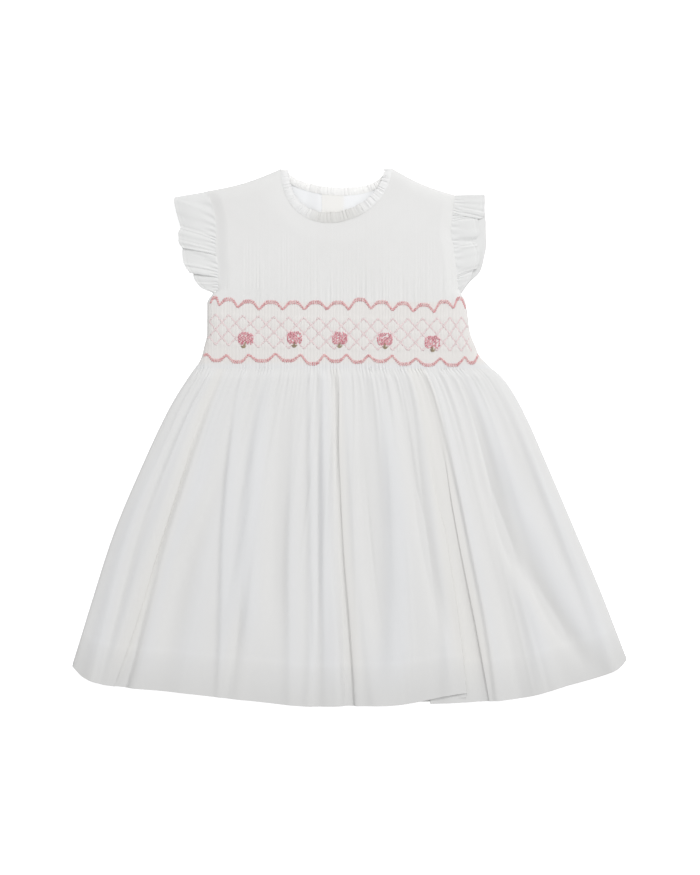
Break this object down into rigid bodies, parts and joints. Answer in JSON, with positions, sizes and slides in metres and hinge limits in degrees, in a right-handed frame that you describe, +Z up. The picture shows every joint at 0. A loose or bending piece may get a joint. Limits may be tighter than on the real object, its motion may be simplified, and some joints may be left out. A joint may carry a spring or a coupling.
{
  "type": "toddler dress",
  "caption": "Toddler dress laid flat: pleated front with a smocked and embroidered chest band, gathered skirt, flutter sleeves, frilled neck and a buttoned back.",
  "frame": {"origin": "middle of the dress's outline, on the surface it lies on", "axes": "+X across the dress to the viewer's right, +Y from the hem to the neck, +Z up from the surface through the back and then the front"},
  "size_m": [0.5334, 0.5179, 0.0115],
  "materials": {
    "white_cotton": "fine plain-weave cotton, soft and matte",
    "smocked_cotton": "finely pleated ivory cotton, matte",
    "embroidery_thread": "stranded cotton, salmon and rose pink with olive stems, slight sheen",
    "frill_trim": "gathered narrow cotton trim, matte",
    "shell_button": "pearl white, satin"
  },
  "bodies": {
    "root": {"front_yoke": "white_cotton", "front_smocked_band": "smocked_cotton", "front_skirt": "white_cotton", "back_bodice_left": "white_cotton", "back_bodice_right": "white_cotton", "back_skirt": "white_cotton", "sleeve_left": "white_cotton", "sleeve_right": "white_cotton", "neck_frill_front": "frill_trim", "neck_frill_back_left": "frill_trim", "neck_frill_back_right": "frill_trim", "button_top": "shell_button", "button_middle": "shell_button", "button_bottom": "shell_button"}
  },
  "joints": []
}
